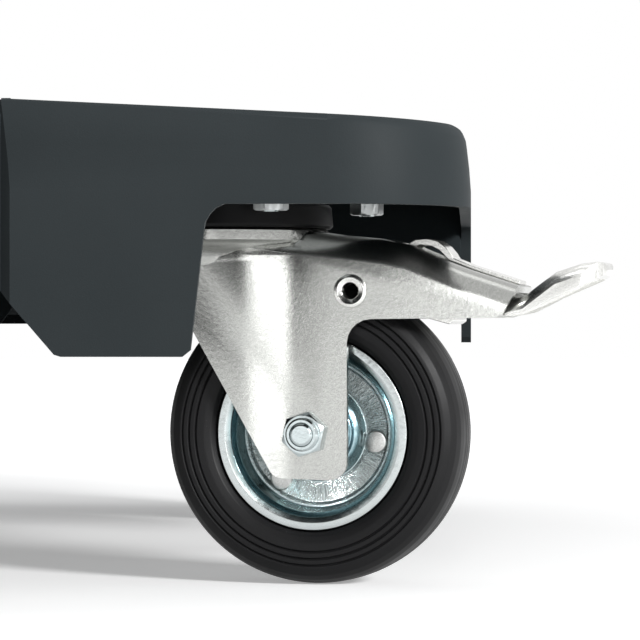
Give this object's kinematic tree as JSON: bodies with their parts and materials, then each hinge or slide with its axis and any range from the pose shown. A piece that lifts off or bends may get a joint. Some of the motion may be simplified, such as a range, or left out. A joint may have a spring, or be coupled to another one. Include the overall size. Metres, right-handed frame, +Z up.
{
  "type": "castor trolley",
  "caption": "Flat moulded plastic trolley with a rimmed tray and deep skirt on swivel castors, diagonal ones with a foot brake.",
  "frame": {"origin": "on the floor, under the middle of the deck", "axes": "+Z up, +Y along the deck's length towards the rear, +X to the right"},
  "size_m": [0.4934, 0.6, 0.1526],
  "materials": {
    "deck_plastic": "matt, finely grained moulding",
    "black_plastic": "matt",
    "tyre_rubber": "satin, solid rubber",
    "fork_steel": "zinc plated pressed sheet, satin",
    "plated_steel": "zinc plated, satin",
    "rim_steel": "blue zinc plated pressed sheet, bright",
    "hub_steel": "blue zinc plated tube",
    "rivet_steel": "zinc plated, satin",
    "fastener_steel": "zinc plated, bright",
    "bearing_steel": "ground, oiled",
    "brake_steel": "zinc plated pressed sheet, bright"
  },
  "bodies": {
    "deck": {"deck_moulding": "deck_plastic", "deck_floor": "deck_plastic", "deck_ribs": "deck_plastic", "castor_top_plates": "plated_steel", "castor_kingpins": "plated_steel", "swivel_bearings": "bearing_steel", "mounting_bolts": "fastener_steel", "mounting_nuts": "fastener_steel"},
    "front_right_swivel": {"front_right_fork": "fork_steel", "front_right_dust_ring": "black_plastic", "front_right_axle_bolt": "fastener_steel", "front_right_axle_nut": "fastener_steel", "front_right_axle_sleeve": "bearing_steel", "front_right_brake_pivots": "rivet_steel", "front_right_brake_spring": "brake_steel"},
    "front_right_wheel": {"front_right_tyre": "tyre_rubber", "front_right_rim_outer": "rim_steel", "front_right_rim_inner": "rim_steel", "front_right_hub": "hub_steel", "front_right_hub_rollers": "bearing_steel", "front_right_rim_rivets": "rivet_steel"},
    "front_right_pedal": {"front_right_brake_pedal": "brake_steel", "front_right_brake_shoe": "brake_steel"},
    "rear_left_swivel": {"rear_left_fork": "fork_steel", "rear_left_dust_ring": "black_plastic", "rear_left_axle_bolt": "fastener_steel", "rear_left_axle_nut": "fastener_steel", "rear_left_axle_sleeve": "bearing_steel", "rear_left_brake_pivots": "rivet_steel", "rear_left_brake_spring": "brake_steel"},
    "rear_left_wheel": {"rear_left_tyre": "tyre_rubber", "rear_left_rim_outer": "rim_steel", "rear_left_rim_inner": "rim_steel", "rear_left_hub": "hub_steel", "rear_left_hub_rollers": "bearing_steel", "rear_left_rim_rivets": "rivet_steel"},
    "rear_left_pedal": {"rear_left_brake_pedal": "brake_steel", "rear_left_brake_shoe": "brake_steel"},
    "front_left_swivel": {"front_left_fork": "fork_steel", "front_left_dust_ring": "black_plastic", "front_left_axle_bolt": "fastener_steel", "front_left_axle_nut": "fastener_steel", "front_left_axle_sleeve": "bearing_steel"},
    "front_left_wheel": {"front_left_tyre": "tyre_rubber", "front_left_rim_outer": "rim_steel", "front_left_rim_inner": "rim_steel", "front_left_hub": "hub_steel", "front_left_hub_rollers": "bearing_steel", "front_left_rim_rivets": "rivet_steel"},
    "rear_right_swivel": {"rear_right_fork": "fork_steel", "rear_right_dust_ring": "black_plastic", "rear_right_axle_bolt": "fastener_steel", "rear_right_axle_nut": "fastener_steel", "rear_right_axle_sleeve": "bearing_steel"},
    "rear_right_wheel": {"rear_right_tyre": "tyre_rubber", "rear_right_rim_outer": "rim_steel", "rear_right_rim_inner": "rim_steel", "rear_right_hub": "hub_steel", "rear_right_hub_rollers": "bearing_steel", "rear_right_rim_rivets": "rivet_steel"}
  },
  "joints": [
    {"name": "front_right_swivel_turn", "type": "hinge", "parent": "deck", "child": "front_right_swivel", "pos_m": [0.1154, -0.157, 0.13], "axis": [0, 0, 1], "continuous": true},
    {"name": "front_right_wheel_spin", "type": "hinge", "parent": "front_right_swivel", "child": "front_right_wheel", "pos_m": [0.14983, -0.16332, 0.05], "axis": [0.1805, 0.9836, 0], "continuous": true},
    {"name": "front_right_pedal_press", "type": "hinge", "parent": "front_right_swivel", "child": "front_right_pedal", "pos_m": [0.16419, -0.16595, 0.0968], "axis": [0.1805, 0.9836, 0], "range_deg": [0, 8.5]},
    {"name": "rear_left_swivel_turn", "type": "hinge", "parent": "deck", "child": "rear_left_swivel", "pos_m": [-0.1154, 0.157, 0.13], "axis": [0, 0, 1], "continuous": true},
    {"name": "rear_left_wheel_spin", "type": "hinge", "parent": "rear_left_swivel", "child": "rear_left_wheel", "pos_m": [-0.14983, 0.16332, 0.05], "axis": [-0.1805, -0.9836, 0], "continuous": true},
    {"name": "rear_left_pedal_press", "type": "hinge", "parent": "rear_left_swivel", "child": "rear_left_pedal", "pos_m": [-0.16419, 0.16595, 0.0968], "axis": [-0.1805, -0.9836, 0], "range_deg": [0, 8.5]},
    {"name": "front_left_swivel_turn", "type": "hinge", "parent": "deck", "child": "front_left_swivel", "pos_m": [-0.1154, -0.157, 0.13], "axis": [0, 0, 1], "continuous": true},
    {"name": "front_left_wheel_spin", "type": "hinge", "parent": "front_left_swivel", "child": "front_left_wheel", "pos_m": [-0.1154, -0.192, 0.05], "axis": [1, 0, 0], "continuous": true},
    {"name": "rear_right_swivel_turn", "type": "hinge", "parent": "deck", "child": "rear_right_swivel", "pos_m": [0.1154, 0.157, 0.13], "axis": [0, 0, 1], "continuous": true},
    {"name": "rear_right_wheel_spin", "type": "hinge", "parent": "rear_right_swivel", "child": "rear_right_wheel", "pos_m": [0.1154, 0.192, 0.05], "axis": [-1, 0, 0], "continuous": true}
  ]
}
